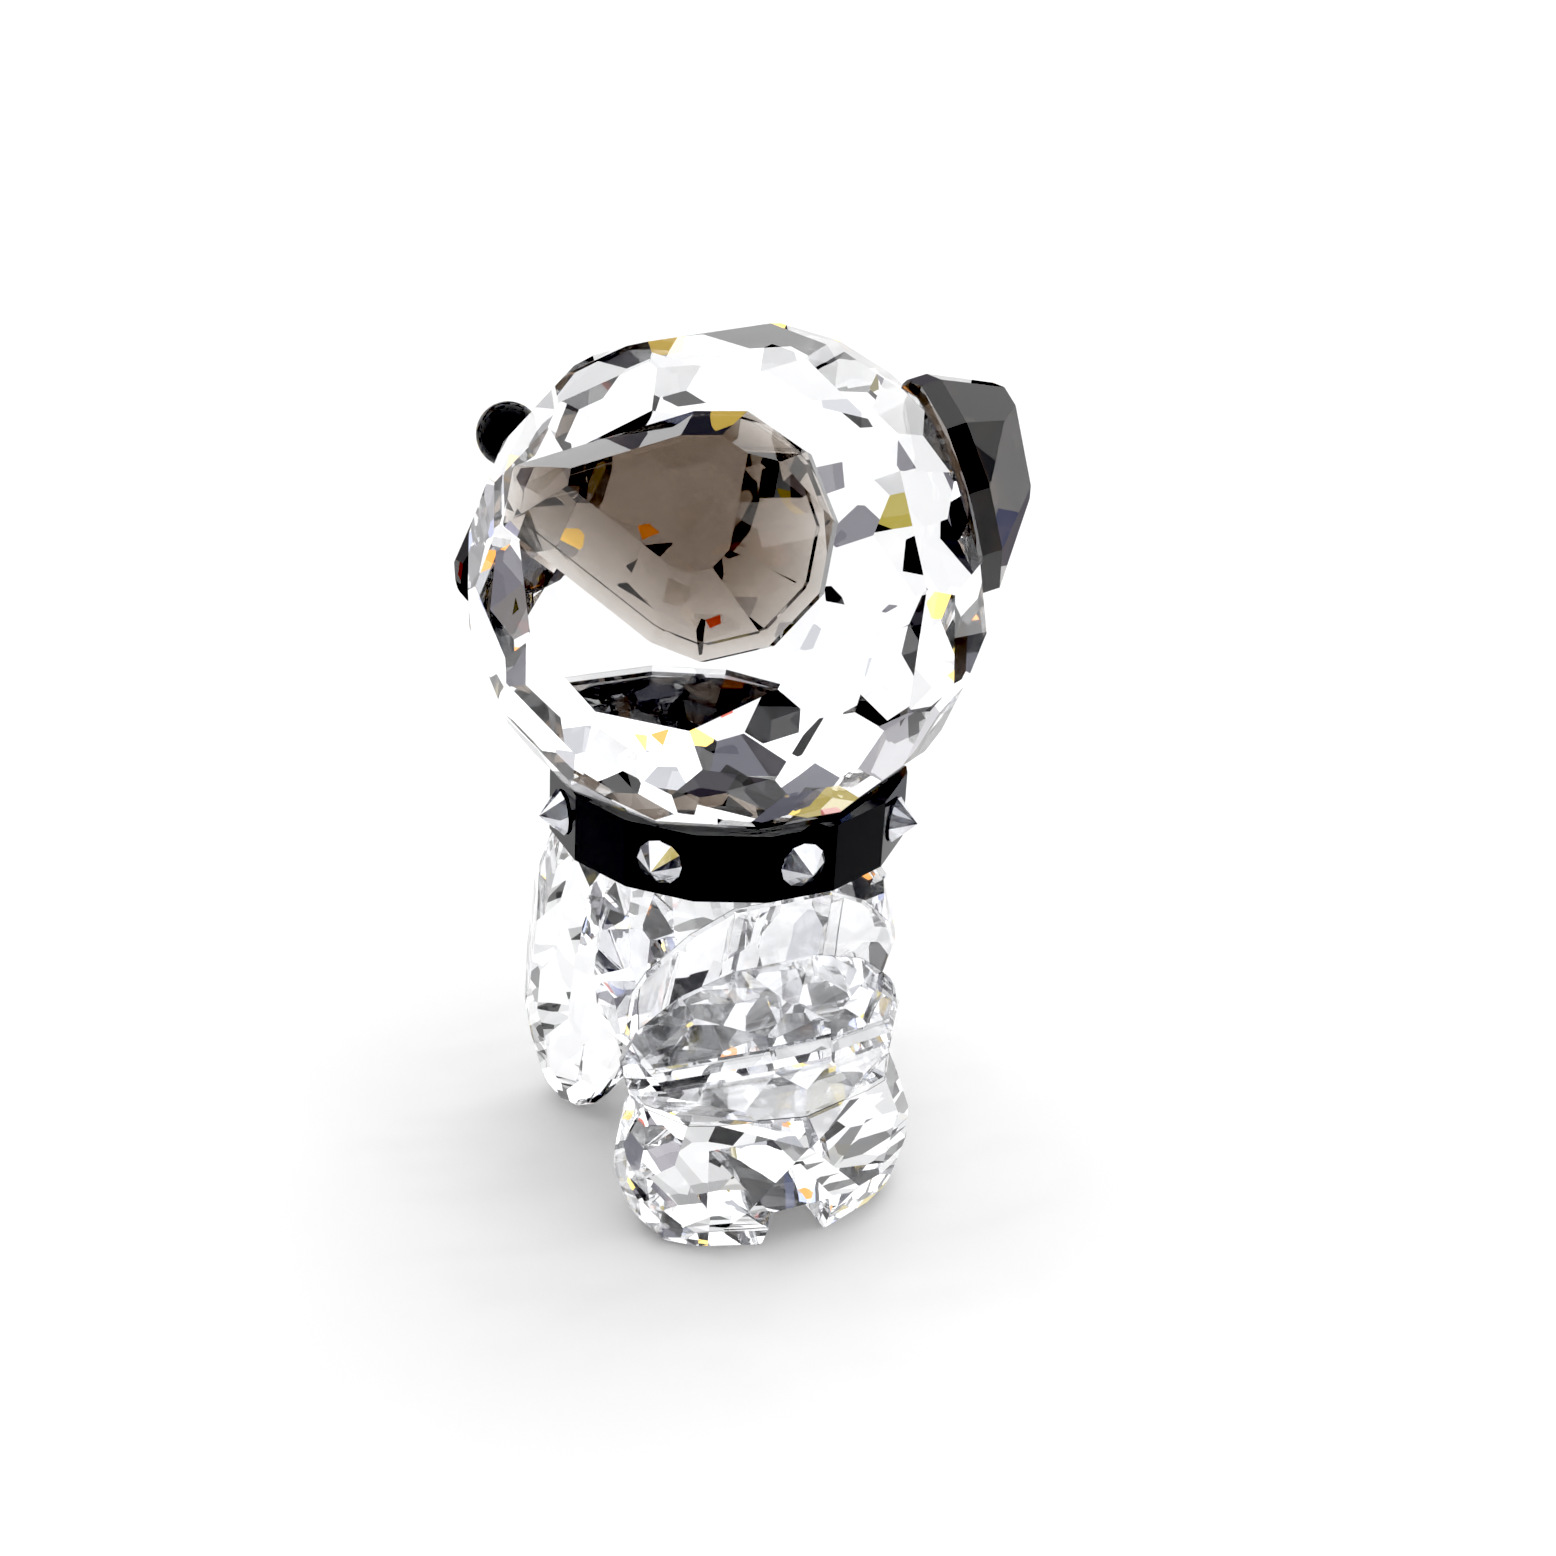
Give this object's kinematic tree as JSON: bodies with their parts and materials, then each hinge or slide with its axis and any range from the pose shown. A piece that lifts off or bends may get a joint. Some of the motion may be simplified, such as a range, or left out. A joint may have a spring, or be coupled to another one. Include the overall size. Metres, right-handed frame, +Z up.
{
  "type": "crystal figurine",
  "caption": "Cut-glass puppy figurine: faceted ball head with smoky drop ears on a jet collar disc with clear studs, over a clear faceted body.",
  "frame": {"origin": "on the surface that the figurine stands on, under the middle of its box", "axes": "+Z up, the body faces -Y, the puppy's left side is +X"},
  "size_m": [0.0268, 0.0286, 0.045],
  "materials": {
    "clear_crystal": "polished",
    "smoky_crystal": "polished",
    "jet_crystal": "polished",
    "adhesive": "clear"
  },
  "bodies": {
    "root": {"adhesive_collar": "adhesive", "adhesive_ear_left": "adhesive", "adhesive_ear_right": "adhesive", "adhesive_foreleg_left": "adhesive", "adhesive_foreleg_right": "adhesive", "adhesive_hind_legs": "adhesive", "adhesive_muzzle": "adhesive", "adhesive_neck": "adhesive", "adhesive_rump": "adhesive", "collar": "jet_crystal", "collar_stud_1": "clear_crystal", "collar_stud_2": "clear_crystal", "collar_stud_3": "clear_crystal", "collar_stud_4": "clear_crystal", "collar_stud_5": "clear_crystal", "collar_stud_6": "clear_crystal", "collar_stud_7": "clear_crystal", "collar_stud_8": "clear_crystal", "ear_left": "smoky_crystal", "ear_right": "smoky_crystal", "eye_left": "jet_crystal", "eye_right": "jet_crystal", "foreleg_left": "clear_crystal", "foreleg_right": "clear_crystal", "head": "clear_crystal", "hind_legs": "clear_crystal", "muzzle": "smoky_crystal", "nose": "jet_crystal", "rump": "clear_crystal", "torso": "clear_crystal"}
  },
  "joints": []
}
